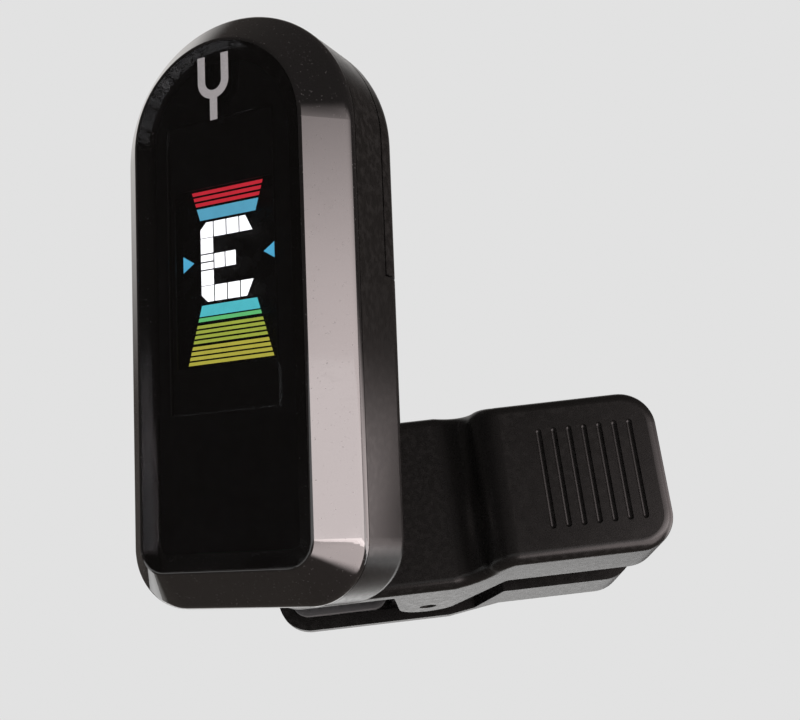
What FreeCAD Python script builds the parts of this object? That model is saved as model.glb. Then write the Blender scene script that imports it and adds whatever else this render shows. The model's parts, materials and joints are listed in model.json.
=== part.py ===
import FreeCAD, Part
import math
import os

# Clip-on tuner, millimetres.  The row frame sits on the spring clip: the origin
# is the centre of the front pad's gripping face, +Y is that pad's outward
# normal (into the jaw gap), +X runs towards the finger levers and +Z runs up
# along the hinge pin.  The display head hangs in front of the clip (-Y) on a
# swivel of three joints: a turntable, a level pin and an upright pin.

Vector = FreeCAD.Vector
ORIGIN = Vector(0, 0, 0)
ALONG_X = Vector(1, 0, 0)
ALONG_Y = Vector(0, 1, 0)
ALONG_Z = Vector(0, 0, 1)

# --- display head, in its own frame: x right, y back from the face, z up ----
HEAD_WIDTH = 25.6
HEAD_HEIGHT = 57.0
HEAD_DEPTH = 13.2
HEAD_CORNER = 6.0
FRONT_BEVEL = 3.4
CREASE_ROUND = 0.35
SHOULDER_ROUND = 1.2
REAR_ROUND = 2.6
SEAM_DEPTH = 4.2
SEAM_GAP = 0.1
SIDE_WALL = 1.6
BACK_WALL = 1.2
FRONT_WALL = 2.6
SHARPEST_CORNER = 0.8

LENS_INSET = 3.65
LENS_THICKNESS = 1.5
LENS_GAP = 0.05
POCKET_HALF_WIDTH = 6.0
POCKET_LOW = 18.2
POCKET_HIGH = 46.2
POCKET_DEPTH = 0.5
WINDOW_INSET = 5.2
LEDGE_BACK = 2.2
MASK_THICKNESS = 0.2

LCD_HALF_WIDTH = 6.9
LCD_LOW = 21.3
LCD_HIGH = 41.1
LCD_VIEW_MARGIN = 1.3
LCD_FRONT = 2.3
LCD_BACK = 3.6
BACKLIGHT_BACK = 4.9
STRIP_HEIGHT = 1.0
LAMP_WIDTH = 0.8
LAMP_HALF_HEIGHT = 1.0
LAMP_HEIGHTS = (26.2, 36.2)
BOARD_FRONT = 5.2
BOARD_BACK = 6.2
BOARD_INSET = 2.2
CHIP_THICKNESS = 0.9
PASSIVE_THICKNESS = 0.6
CRYSTAL_RADIUS = 0.6
SWITCH_THICKNESS = 1.6
SWITCH_HALF_HEIGHT = 2.0
SWITCH_LENGTH = 2.4
PLUNGER_LENGTH = 0.5
PLUNGER_HALF_HEIGHT = 0.9

PIEZO_HEIGHT = 18.5
PIEZO_RADIUS = 6.5
CERAMIC_RADIUS = 4.6
PIEZO_THICKNESS = 0.25
LEAD_RADIUS = 0.25

DOOR_LOW = 31.0
DOOR_FRONT = 9.5
DOOR_GAP = 0.25
SCOOP_COUNT = 4
SCOOP_START = 3.0
SCOOP_PITCH = 1.2
SCOOP_RADIUS = 0.35
SCOOP_HALF_LENGTH = 4.5
TRAY_LOW = DOOR_LOW - 1.5
TRAY_FRONT = 7.5
TRAY_BACK = 8.3
SILL_HEIGHT = 1.0
TRAY_SLOT_OFFSET = 4.0
TRAY_SLOT_HALF_WIDTH = 1.6
TRAY_SLOT = (47.0, 48.2)
CELL_RADIUS = 10.0
CELL_THICKNESS = 3.2
CELL_FRONT = 8.6
CELL_HEIGHT = 43.6
CELL_STEP = 0.4
CELL_STEP_INSET = 1.2
CELL_EDGE = 0.3
CONTACT_THICKNESS = 0.2
LEAF_HALF_WIDTH = 5.4
LEAF = (42.0, 46.5)
LEAF_SLIT_HALF_WIDTH = 3.0
LEAF_SLIT = (43.6, 45.0)
BLADE_HALF_WIDTH = 3.0
BLADE_FOOT = 2.2
BLADE_RISE = 3.0

LOW_SCREW = (7.8, 5.4)
HIGH_SCREW = (8.9, 34.0)
POST_RADIUS = 1.45
LOW_POST_RADIUS = 1.85
SCREW_RADIUS = 0.75
SCREW_HOLE_RADIUS = 0.85
SCREW_SEAT_RADIUS = 1.5
BOARD_HOLE_RADIUS = 0.9
SCREW_HEAD_RADIUS = 1.35
SCREW_HEAD_HEIGHT = 0.9
SCREW_TIP = 2.9
DRIVE_HALF_LENGTH = 0.9
DRIVE_HALF_WIDTH = 0.15
DRIVE_DEPTH = 0.4

BUTTON_HEIGHTS = {"power_button": 12.5, "down_button": 19.5, "up_button": 26.0}
BUTTON_DEPTH = 7.9
BUTTON_HALF_DEPTH = 1.35
BUTTON_HALF_HEIGHT = 2.3
BUTTON_PROUD = 0.7
BUTTON_TRAVEL = 0.5
BUTTON_GAP = 0.2
BUTTON_INSIDE_GAP = 0.25
BUTTON_EDGE = 0.4
BUTTON_FLANGE = 0.5
BUTTON_FLANGE_REACH = 0.5

# --- swivel -----------------------------------------------------------------
PAN_REST = 27.0
TILT_REST = 11.8
BASE_REST = 4.6
PAN_BEHIND_HEAD = 4.4
PAN_HEIGHT = 10.6
SWIVEL_LINK = 5.6
TILT_IN_FRONT = 5.5
BASE_RADIUS = 5.7
BASE_GAP = 0.1
BASE_THICKNESS = 1.4
RIVET_RADIUS = 1.2
RIVET_HEAD_RADIUS = 2.1
RIVET_HEAD_HEIGHT = 0.5
BARREL_RADIUS = 3.0
BARREL_HALF = 2.35
LUG_RADIUS = 3.2
LUG_INNER = 2.6
LUG_OUTER = 4.7
SWIVEL_PIN_RADIUS = 1.0
PIN_HEAD_RADIUS = 1.7
PIN_HEAD_HEIGHT = 0.5
RUNNING_CLEARANCE = 0.05
WASHER_RADIUS = 2.2
WASHER_GAP = 0.04

# --- spring clip ------------------------------------------------------------
JAW_OPENING = 14.0
PAD_THICKNESS = 1.7
PAD_HALF_LENGTH = 6.0
PAD_HALF_WIDTH = 8.35
PAD_CORNER = 2.0
PAD_EDGE = 0.5
PLATE = 1.8
SIDE = 1.6
JAW_TIP = -7.7
JAW_RIM = 0.7
HINGE_X = 10.6
HINGE_PIN_RADIUS = 1.0
HINGE_PIN_INSET = 0.35
EAR_RADIUS = 3.4
EAR_GAP = 0.3
ROOT_HALF_WIDTH = 10.1
LEVER_HALF_WIDTH = 9.1
TAPER_START = 13.5
TAPER_END = 20.0
BEND_START = 14.0
BEND_END = 20.5
BEND_RISE = 4.5
LEVER_END = 38.0
LEVER_WALL = 9.4
REAR_LEVER_END = 36.4
REAR_LEVER_WALL = 9.0
LEVER_CORNER = 4.0
EDGE_ROUND = 1.2
GRIP_RIBS = 7
GRIP_PITCH = 1.7
GRIP_START = 24.6
GRIP_HALF_LENGTH = 5.4
GRIP_DEPTH = 0.3
GRIP_WIDTH = 0.7

SPRING_COIL_RADIUS = 2.15
SPRING_WIRE_RADIUS = 0.4
SPRING_ELBOW_RADIUS = 0.43
SPRING_PITCH = 0.98
SPRING_TURNS = 8
SPRING_BOTTOM = -4.6
SPRING_LEG_END = 27.0

# --- working lengths: past any part, and within a touch of a face ------------
REACH = 60.0
BORE_REACH = 8.0
TOUCH = 0.01

# --- derived places ---------------------------------------------------------
HALF_WIDTH = HEAD_WIDTH / 2
INNER_BACK = HEAD_DEPTH - BACK_WALL
HINGE_Y = JAW_OPENING / 2
FRONT_FACE = -PAD_THICKNESS - PLATE
REAR_FACE = JAW_OPENING + PAD_THICKNESS + PLATE
LEVER_FACE = FRONT_FACE - BEND_RISE
TILT_CENTRE = Vector(0, FRONT_FACE - TILT_IN_FRONT, 0)
BASE_TURN = FreeCAD.Rotation(ALONG_Y, BASE_REST)
KNUCKLE_TURN = BASE_TURN.multiply(FreeCAD.Rotation(ALONG_X, TILT_REST))
HEAD_TURN = KNUCKLE_TURN.multiply(FreeCAD.Rotation(ALONG_Z, -PAN_REST))
PAN_CENTRE = TILT_CENTRE + KNUCKLE_TURN.multVec(Vector(0, -SWIVEL_LINK, 0))
PAN_IN_HEAD = Vector(0, HEAD_DEPTH + PAN_BEHIND_HEAD, PAN_HEIGHT)


# --- small helpers ----------------------------------------------------------
def block(x_span, y_span, z_span):
    size = (x_span[1] - x_span[0], y_span[1] - y_span[0], z_span[1] - z_span[0])
    return Part.makeBox(*size, Vector(x_span[0], y_span[0], z_span[0]))


def rod(radius, start, end):
    run = end.sub(start)
    return Part.makeCylinder(radius, run.Length, start, run)


def ring(outer, inner, start, end):
    return rod(outer, start, end).cut(rod(inner, start, end))


def joined(shapes):
    first = shapes[0]
    return first.multiFuse(shapes[1:]).removeSplitter()


def rounded(shape, radius, chosen):
    edges = [edge for edge in shape.Edges if chosen(edge.BoundBox)]
    return shape.makeFillet(radius, edges)


def line(start, end):
    return Part.LineSegment(start, end).toShape()


def arc(start, middle, end):
    return Part.Arc(start, middle, end).toShape()


def prism(edges, push):
    return Part.Face(Part.Wire(edges)).extrude(push)


def in_head(shape):
    """Move a shape from the head's own frame to its place in the row frame."""
    place = FreeCAD.Placement(PAN_CENTRE, HEAD_TURN)
    to_pivot = FreeCAD.Placement(PAN_IN_HEAD.negative(), FreeCAD.Rotation())
    return shape.transformed(place.multiply(to_pivot).toMatrix(), True)


def in_knuckle(shape):
    """Move a shape from the knuckle's frame (tilt axis at 0) to the row frame."""
    return shape.transformed(FreeCAD.Placement(TILT_CENTRE, KNUCKLE_TURN).toMatrix(), True)


def in_base(shape):
    """Move a shape from the swivel base's frame (tilt axis at 0) to the row frame."""
    return shape.transformed(FreeCAD.Placement(TILT_CENTRE, BASE_TURN).toMatrix(), True)


# --- display head: outline and shells ---------------------------------------
def head_slab(inset, front, back):
    """The head's round-topped outline, drawn in by inset, from front to back."""
    half = HALF_WIDTH - inset
    shoulder = HEAD_HEIGHT - HALF_WIDTH
    corner = max(HEAD_CORNER - inset, SHARPEST_CORNER)
    cut = corner * (1 - math.cos(math.pi / 4))
    right_foot = [
        Vector(half - corner, 0, inset),
        Vector(half - cut, 0, inset + cut),
        Vector(half, 0, inset + corner),
    ]
    left_foot = [Vector(-point.x, 0, point.z) for point in reversed(right_foot)]
    right = Vector(half, 0, shoulder)
    left = Vector(-half, 0, shoulder)
    edges = [
        line(left_foot[2], right_foot[0]),
        arc(*right_foot),
        line(right_foot[2], right),
        arc(right, Vector(0, 0, shoulder + half), left),
        line(left, left_foot[0]),
        arc(*left_foot),
    ]
    slab = prism(edges, Vector(0, back - front, 0))
    return slab.translated(Vector(0, front, 0))


def mirrored_places(place):
    return [(-place[0], place[1]), place]


def along_depth(place, front, back):
    return Vector(place[0], front, place[1]), Vector(place[0], back, place[1])


def at_depth(depth):
    """Chooser of the edges that lie wholly at one depth of the head."""
    return lambda edge_box: edge_box.YMin > depth - TOUCH and edge_box.YMax < depth + TOUCH


def front_shell():
    """Solid front with a flat face, a broad bevel and a soft shoulder behind it."""
    slab = head_slab(0, 0, SEAM_DEPTH - SEAM_GAP)
    front_edges = [edge for edge in slab.Edges if at_depth(0)(edge.BoundBox)]
    shell = slab.makeChamfer(FRONT_BEVEL, front_edges)
    shell = rounded(shell, SHOULDER_ROUND, at_depth(FRONT_BEVEL))
    return rounded(shell, CREASE_ROUND, at_depth(0))


def front_case():
    hollow = [
        head_slab(LENS_INSET, 0, LENS_THICKNESS),
        head_slab(WINDOW_INSET, 0, LEDGE_BACK),
        head_slab(FRONT_WALL, LEDGE_BACK, SEAM_DEPTH),
    ]
    case = front_shell().cut(hollow)
    posts = []
    holes = []
    for place in mirrored_places(LOW_SCREW) + mirrored_places(HIGH_SCREW):
        posts.append(rod(POST_RADIUS, *along_depth(place, LEDGE_BACK, BOARD_FRONT)))
        holes.append(rod(SCREW_RADIUS, *along_depth(place, SCREW_TIP, BOARD_FRONT)))
    return joined([case] + posts).cut(holes)


def rear_shell():
    outer = head_slab(0, SEAM_DEPTH, HEAD_DEPTH)
    outer = rounded(outer, REAR_ROUND, at_depth(HEAD_DEPTH))
    return outer.cut(head_slab(SIDE_WALL, SEAM_DEPTH, INNER_BACK))


def above_door_line(gap):
    return block((-REACH, REACH), (DOOR_FRONT - gap, REACH), (DOOR_LOW - gap, REACH))


def pan_lugs():
    """Two ears behind the head that carry the upright swivel pin."""
    lugs = []
    for low, high in ((-LUG_OUTER, -LUG_INNER), (LUG_INNER, LUG_OUTER)):
        start = PAN_IN_HEAD + Vector(0, 0, low)
        end = PAN_IN_HEAD + Vector(0, 0, high)
        web = block(
            (-LUG_RADIUS, LUG_RADIUS),
            (INNER_BACK, PAN_IN_HEAD.y),
            (PAN_HEIGHT + low, PAN_HEIGHT + high),
        )
        lugs.append(rod(LUG_RADIUS, start, end))
        lugs.append(web)
    return lugs


def button_slots():
    slots = []
    depth = BUTTON_HALF_DEPTH + BUTTON_GAP
    reach = BUTTON_HALF_HEIGHT + BUTTON_GAP
    for height in BUTTON_HEIGHTS.values():
        slot = block(
            (-REACH, -HALF_WIDTH + SIDE_WALL + TOUCH),
            (BUTTON_DEPTH - depth, BUTTON_DEPTH + depth),
            (height - reach, height + reach),
        )
        slots.append(slot)
    return slots


def rear_case():
    """Back shell with the open battery tray, screw posts and swivel lugs."""
    shell = rear_shell().cut(above_door_line(DOOR_GAP))
    tray_zone = block((-REACH, REACH), (0, REACH), (TRAY_LOW, REACH))
    tray = head_slab(SIDE_WALL, TRAY_FRONT, TRAY_BACK).common(tray_zone)
    inside = HALF_WIDTH - SIDE_WALL
    sill = block((-inside, inside), (TRAY_FRONT, INNER_BACK), (TRAY_LOW, TRAY_LOW + SILL_HEIGHT))
    adds = [shell, tray, sill] + pan_lugs()
    bore = ALONG_Z * BORE_REACH
    cuts = [rod(SWIVEL_PIN_RADIUS, PAN_IN_HEAD - bore, PAN_IN_HEAD + bore)] + button_slots()
    seat = INNER_BACK - SCREW_HEAD_HEIGHT
    for place in mirrored_places(LOW_SCREW):
        adds.append(rod(LOW_POST_RADIUS, *along_depth(place, BOARD_BACK, INNER_BACK)))
        cuts.append(rod(SCREW_HOLE_RADIUS, *along_depth(place, BOARD_BACK, HEAD_DEPTH)))
        cuts.append(rod(SCREW_SEAT_RADIUS, *along_depth(place, seat, HEAD_DEPTH + BACK_WALL)))
    for place in mirrored_places(HIGH_SCREW):
        adds.append(rod(POST_RADIUS, *along_depth(place, BOARD_BACK, TRAY_FRONT)))
        cuts.append(rod(SCREW_HOLE_RADIUS, *along_depth(place, BOARD_BACK, TRAY_BACK)))
    for centre in (-TRAY_SLOT_OFFSET, TRAY_SLOT_OFFSET):
        span = (centre - TRAY_SLOT_HALF_WIDTH, centre + TRAY_SLOT_HALF_WIDTH)
        cuts.append(block(span, (TRAY_FRONT - BACK_WALL, TRAY_BACK + BACK_WALL), TRAY_SLOT))
    return joined(adds).cut(cuts)


def battery_door():
    """Upper back of the head, which lifts straight off to change the cell."""
    door = rear_shell().common(above_door_line(0))
    scoops = []
    for step in range(SCOOP_COUNT):
        height = DOOR_LOW + SCOOP_START + SCOOP_PITCH * step
        start = Vector(-SCOOP_HALF_LENGTH, HEAD_DEPTH, height)
        end = Vector(SCOOP_HALF_LENGTH, HEAD_DEPTH, height)
        scoops.append(rod(SCOOP_RADIUS, start, end))
    return door.cut(scoops)


# --- display head: inside ---------------------------------------------------
def lens_window():
    """Clear cover with a shallow pocket in its back, in front of the display."""
    cover = head_slab(LENS_INSET + LENS_GAP, 0, LENS_THICKNESS)
    depth = (LENS_THICKNESS - POCKET_DEPTH, LENS_THICKNESS)
    return cover.cut(block((-POCKET_HALF_WIDTH, POCKET_HALF_WIDTH), depth, (POCKET_LOW, POCKET_HIGH)))


def display_mask():
    """Printed black film behind the window, open over the display."""
    film = head_slab(WINDOW_INSET + LENS_GAP, LENS_THICKNESS, LENS_THICKNESS + MASK_THICKNESS)
    half = LCD_HALF_WIDTH - LCD_VIEW_MARGIN
    heights = (LCD_LOW + LCD_VIEW_MARGIN, LCD_HIGH - LCD_VIEW_MARGIN)
    return film.cut(block((-half, half), (0, HEAD_DEPTH), heights))


def lcd_panel():
    """Two glass sheets, the rear one longer so that its contact edge shows."""
    middle = (LCD_FRONT + LCD_BACK) / 2
    span = (-LCD_HALF_WIDTH, LCD_HALF_WIDTH)
    front = block(span, (LCD_FRONT, middle), (LCD_LOW + STRIP_HEIGHT, LCD_HIGH - STRIP_HEIGHT))
    rear = block(span, (middle, LCD_BACK), (LCD_LOW, LCD_HIGH))
    return joined([front, rear])


def backlight():
    """Light guide with its two side-firing lamps."""
    inset = STRIP_HEIGHT + 0.2
    right = LCD_HALF_WIDTH - LAMP_WIDTH
    depth = (LCD_BACK, BACKLIGHT_BACK)
    pieces = [block((-LCD_HALF_WIDTH, right - 0.1), depth, (LCD_LOW + inset, LCD_HIGH - inset))]
    for height in LAMP_HEIGHTS:
        heights = (height - LAMP_HALF_HEIGHT, height + LAMP_HALF_HEIGHT)
        pieces.append(block((right, LCD_HALF_WIDTH), (LCD_BACK + 0.2, BACKLIGHT_BACK), heights))
    return Part.makeCompound(pieces)


def lcd_connectors():
    """Two elastomer strips that join the glass to the circuit board."""
    span = (-LCD_HALF_WIDTH + 0.4, LCD_HALF_WIDTH - 0.4)
    low = block(span, (LCD_BACK, BOARD_FRONT), (LCD_LOW, LCD_LOW + STRIP_HEIGHT))
    high = block(span, (LCD_BACK, BOARD_FRONT), (LCD_HIGH - STRIP_HEIGHT, LCD_HIGH))
    return Part.makeCompound([low, high])


def circuit_board():
    board = head_slab(BOARD_INSET, BOARD_FRONT, BOARD_BACK)
    holes = []
    for place in mirrored_places(LOW_SCREW) + mirrored_places(HIGH_SCREW):
        holes.append(rod(BOARD_HOLE_RADIUS, *along_depth(place, 0, HEAD_DEPTH)))
    return board.cut(holes)


def board_components():
    """Controller, amplifier, crystal and eight small passives on the board's back."""
    chip_depth = (BOARD_BACK, BOARD_BACK + CHIP_THICKNESS)
    passive_depth = (BOARD_BACK, BOARD_BACK + PASSIVE_THICKNESS)
    controller = block((-1.0, 5.0), chip_depth, (18.0, 24.0))
    amplifier = block((-3.0, 0.0), chip_depth, (11.5, 14.5))
    can_depth = BOARD_BACK + CRYSTAL_RADIUS
    crystal = rod(CRYSTAL_RADIUS, Vector(7.2, can_depth, 19.0), Vector(7.2, can_depth, 24.5))
    pieces = [controller, amplifier, crystal]
    for column in range(4):
        for row in range(2):
            left = 2.0 + 1.7 * column
            low = 11.2 + 2.2 * row
            pieces.append(block((left, left + 0.9), passive_depth, (low, low + 1.5)))
    return Part.makeCompound(pieces)


def tact_switches():
    """Side-press switches, one behind each button."""
    switches = []
    tip = -HALF_WIDTH + SIDE_WALL + BUTTON_INSIDE_GAP + BUTTON_FLANGE + BUTTON_TRAVEL + 0.1
    body_left = tip + PLUNGER_LENGTH
    body_depth = (BOARD_BACK, BOARD_BACK + SWITCH_THICKNESS)
    plunger_depth = (BOARD_BACK + 0.3, BOARD_BACK + SWITCH_THICKNESS - 0.3)
    for height in BUTTON_HEIGHTS.values():
        body_heights = (height - SWITCH_HALF_HEIGHT, height + SWITCH_HALF_HEIGHT)
        plunger_heights = (height - PLUNGER_HALF_HEIGHT, height + PLUNGER_HALF_HEIGHT)
        body = block((body_left, body_left + SWITCH_LENGTH), body_depth, body_heights)
        plunger = block((tip, body_left), plunger_depth, plunger_heights)
        switches.append(joined([body, plunger]))
    return Part.makeCompound(switches)


def button(height):
    """A key cap that shows through the left wall, with a flange inside it."""
    outer_face = -HALF_WIDTH - BUTTON_PROUD
    flange_left = -HALF_WIDTH + SIDE_WALL + BUTTON_INSIDE_GAP
    flange_half = BUTTON_HALF_HEIGHT + BUTTON_FLANGE_REACH
    cap_back = BUTTON_DEPTH + BUTTON_HALF_DEPTH
    cap = block(
        (outer_face, flange_left),
        (BUTTON_DEPTH - BUTTON_HALF_DEPTH, cap_back),
        (height - BUTTON_HALF_HEIGHT, height + BUTTON_HALF_HEIGHT),
    )
    cap = rounded(cap, BUTTON_EDGE, lambda edge_box: edge_box.XMax < outer_face + TOUCH)
    flange = block(
        (flange_left, flange_left + BUTTON_FLANGE),
        (BOARD_BACK + BUTTON_GAP, cap_back + BUTTON_FLANGE_REACH),
        (height - flange_half, height + flange_half),
    )
    return joined([cap, flange])


def coin_cell():
    start, end = along_depth((0, CELL_HEIGHT), CELL_FRONT, CELL_FRONT + CELL_THICKNESS)
    can_start = start + ALONG_Y * CELL_STEP
    step = rod(CELL_RADIUS - CELL_STEP_INSET, start, can_start)
    can = rounded(rod(CELL_RADIUS, can_start, end), CELL_EDGE, at_depth(end.y))
    return joined([step, can])


def negative_contact():
    """Leaf in the tray that presses the cell's flat side."""
    depth = (TRAY_BACK, TRAY_BACK + CONTACT_THICKNESS)
    leaf = block((-LEAF_HALF_WIDTH, LEAF_HALF_WIDTH), depth, LEAF)
    return leaf.cut(block((-LEAF_SLIT_HALF_WIDTH, LEAF_SLIT_HALF_WIDTH), depth, LEAF_SLIT))


def positive_contact():
    """Strip that stands up beside the cell at the foot of the tray."""
    low = CELL_HEIGHT - CELL_RADIUS - CELL_STEP_INSET
    span = (-BLADE_HALF_WIDTH, BLADE_HALF_WIDTH)
    foot = block(span, (TRAY_BACK, TRAY_BACK + CONTACT_THICKNESS), (low, low + BLADE_FOOT))
    blade = block(span, (TRAY_BACK, TRAY_BACK + BLADE_RISE), (low, low + CONTACT_THICKNESS))
    return joined([foot, blade])


def piezo_disc():
    """Brass disc stuck to the inside of the back wall, which picks up vibration."""
    return rod(PIEZO_RADIUS, *along_depth((0, PIEZO_HEIGHT), INNER_BACK - PIEZO_THICKNESS, INNER_BACK))


def piezo_ceramic():
    back = INNER_BACK - PIEZO_THICKNESS
    return rod(CERAMIC_RADIUS, *along_depth((0, PIEZO_HEIGHT), back - PIEZO_THICKNESS, back))


def piezo_wires():
    """Two short leads from the board: one to the ceramic, one to the brass."""
    ceramic_lead = along_depth((-2.4, 17.3), BOARD_BACK, INNER_BACK - 2 * PIEZO_THICKNESS)
    brass_lead = along_depth((5.6, 16.5), BOARD_BACK, INNER_BACK - PIEZO_THICKNESS)
    return Part.makeCompound([rod(LEAD_RADIUS, *ceramic_lead), rod(LEAD_RADIUS, *brass_lead)])


def case_screws():
    """Two long screws under the back and two short ones under the door."""
    screws = []
    for place, seat in ((LOW_SCREW, INNER_BACK - SCREW_HEAD_HEIGHT), (HIGH_SCREW, TRAY_BACK)):
        for spot in mirrored_places(place):
            head_start, head_end = along_depth(spot, seat, seat + SCREW_HEAD_HEIGHT)
            drive = block(
                (spot[0] - DRIVE_HALF_LENGTH, spot[0] + DRIVE_HALF_LENGTH),
                (head_end.y - DRIVE_DEPTH, head_end.y),
                (spot[1] - DRIVE_HALF_WIDTH, spot[1] + DRIVE_HALF_WIDTH),
            )
            turned = drive.copy()
            turned.rotate(head_end, ALONG_Y, 90)
            head = rod(SCREW_HEAD_RADIUS, head_start, head_end)
            shank = rod(SCREW_RADIUS, *along_depth(spot, SCREW_TIP, seat))
            screws.append(joined([head, shank]).cut([drive, turned]))
    return Part.makeCompound(screws)


# --- swivel -----------------------------------------------------------------
def swivel_base():
    """Turntable on the front arm, with two ears that carry the level pin."""
    back = TILT_IN_FRONT - BASE_GAP
    front = back - BASE_THICKNESS
    pieces = [rod(BASE_RADIUS, ALONG_Y * front, ALONG_Y * back)]
    for left, right in ((-LUG_OUTER, -LUG_INNER), (LUG_INNER, LUG_OUTER)):
        pieces.append(rod(LUG_RADIUS, ALONG_X * left, ALONG_X * right))
        pieces.append(block((left, right), (0, front + 0.1), (-LUG_RADIUS, LUG_RADIUS)))
    base = joined(pieces)
    bores = [
        rod(SWIVEL_PIN_RADIUS, ALONG_X * -BORE_REACH, ALONG_X * BORE_REACH),
        rod(RIVET_RADIUS + RUNNING_CLEARANCE, ALONG_Y * front, ALONG_Y * back),
    ]
    return base.cut(bores)


def base_rivet():
    """Rivet that holds the turntable to the front arm's plate."""
    inner_face = FRONT_FACE + PLATE
    disc_front = FRONT_FACE - BASE_GAP - BASE_THICKNESS
    head_back = disc_front - WASHER_GAP
    head = rod(RIVET_HEAD_RADIUS, ALONG_Y * (head_back - RIVET_HEAD_HEIGHT), ALONG_Y * head_back)
    shank = rod(RIVET_RADIUS, ALONG_Y * head_back, ALONG_Y * inner_face)
    tail = rod(RIVET_HEAD_RADIUS, ALONG_Y * (inner_face - RIVET_HEAD_HEIGHT), ALONG_Y * inner_face)
    return joined([head, shank, tail])


def swivel_pin(centre, axis):
    """A pin with a low head at each end, just outside the lugs."""
    pieces = [rod(SWIVEL_PIN_RADIUS, centre - axis * LUG_OUTER, centre + axis * LUG_OUTER)]
    for sign in (-1, 1):
        inner = centre + axis * (sign * LUG_OUTER)
        outer = centre + axis * (sign * (LUG_OUTER + PIN_HEAD_HEIGHT))
        pieces.append(rod(PIN_HEAD_RADIUS, inner, outer))
    return joined(pieces)


def swivel_knuckle():
    """Block with an upright bore in front and a level bore behind."""
    pan = Vector(0, -SWIVEL_LINK, 0)
    upright = rod(BARREL_RADIUS, pan - ALONG_Z * BARREL_HALF, pan + ALONG_Z * BARREL_HALF)
    level = rod(BARREL_RADIUS, ALONG_X * -BARREL_HALF, ALONG_X * BARREL_HALF)
    web = block((-BARREL_HALF, BARREL_HALF), (-SWIVEL_LINK, 0), (-BARREL_HALF, BARREL_HALF))
    bore = SWIVEL_PIN_RADIUS + RUNNING_CLEARANCE
    bores = [
        rod(bore, pan - ALONG_Z * BORE_REACH, pan + ALONG_Z * BORE_REACH),
        rod(bore, ALONG_X * -BORE_REACH, ALONG_X * BORE_REACH),
    ]
    return joined([upright, level, web]).cut(bores)


def washers(centre, axis):
    """A friction washer on each side of a knuckle barrel."""
    pair = []
    for sign in (-1, 1):
        inner = centre + axis * (sign * BARREL_HALF)
        outer = centre + axis * (sign * (LUG_INNER - WASHER_GAP))
        pair.append(ring(WASHER_RADIUS, SWIVEL_PIN_RADIUS + RUNNING_CLEARANCE, inner, outer))
    return Part.makeCompound(pair)


# --- spring clip ------------------------------------------------------------
def bend_edges(face, thickness_in, z):
    """Outer or inner surface of the front arm from root to lever: two arcs."""
    run = BEND_END - BEND_START
    radius = (run ** 2 + BEND_RISE ** 2) / (4 * BEND_RISE)
    sweep = 2 * math.atan2(BEND_RISE, run)
    first_centre = Vector(BEND_START, face - radius, z)
    second_centre = Vector(BEND_END, face - BEND_RISE + radius, z)
    grown = radius + thickness_in
    shrunk = radius - thickness_in

    def on_first(angle):
        return first_centre + Vector(grown * math.sin(angle), grown * math.cos(angle), 0)

    def on_second(angle):
        return second_centre - Vector(shrunk * math.sin(angle), shrunk * math.cos(angle), 0)

    first = arc(on_first(0), on_first(sweep / 2), on_first(sweep))
    second = arc(on_second(sweep), on_second(sweep / 2), on_second(0))
    return first, second


def arm_outline(inset, end, low, high):
    """Front view of an arm: a wide root that narrows to a round-cornered lever."""
    tip = JAW_TIP + inset
    far = end - inset
    root = ROOT_HALF_WIDTH - inset
    lever = LEVER_HALF_WIDTH - inset
    corner = LEVER_CORNER - inset
    cut = corner * (1 - math.cos(math.pi / 4))
    upper = [
        Vector(tip, low, root - corner),
        Vector(tip + cut, low, root - cut),
        Vector(tip + corner, low, root),
        Vector(TAPER_START, low, root),
        Vector(TAPER_END, low, lever),
        Vector(far - corner, low, lever),
        Vector(far - cut, low, lever - cut),
        Vector(far, low, lever - corner),
    ]
    lower = [Vector(point.x, point.y, -point.z) for point in upper]
    edges = [
        arc(upper[0], upper[1], upper[2]),
        line(upper[2], upper[3]),
        line(upper[3], upper[4]),
        line(upper[4], upper[5]),
        arc(upper[5], upper[6], upper[7]),
        line(upper[7], lower[7]),
        arc(lower[7], lower[6], lower[5]),
        line(lower[5], lower[4]),
        line(lower[4], lower[3]),
        line(lower[3], lower[2]),
        arc(lower[2], lower[1], lower[0]),
        line(lower[0], upper[0]),
    ]
    return prism(edges, Vector(0, high - low, 0))


def tangent_point(point, radius, side):
    """Where a line from point touches the ear circle about the hinge pin."""
    centre = Vector(HINGE_X, HINGE_Y, 0)
    away = point.sub(centre)
    swing = math.acos(radius / away.Length)
    angle = math.atan2(away.y, away.x) + side * swing
    return centre + Vector(radius * math.cos(angle), radius * math.sin(angle), 0)


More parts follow.
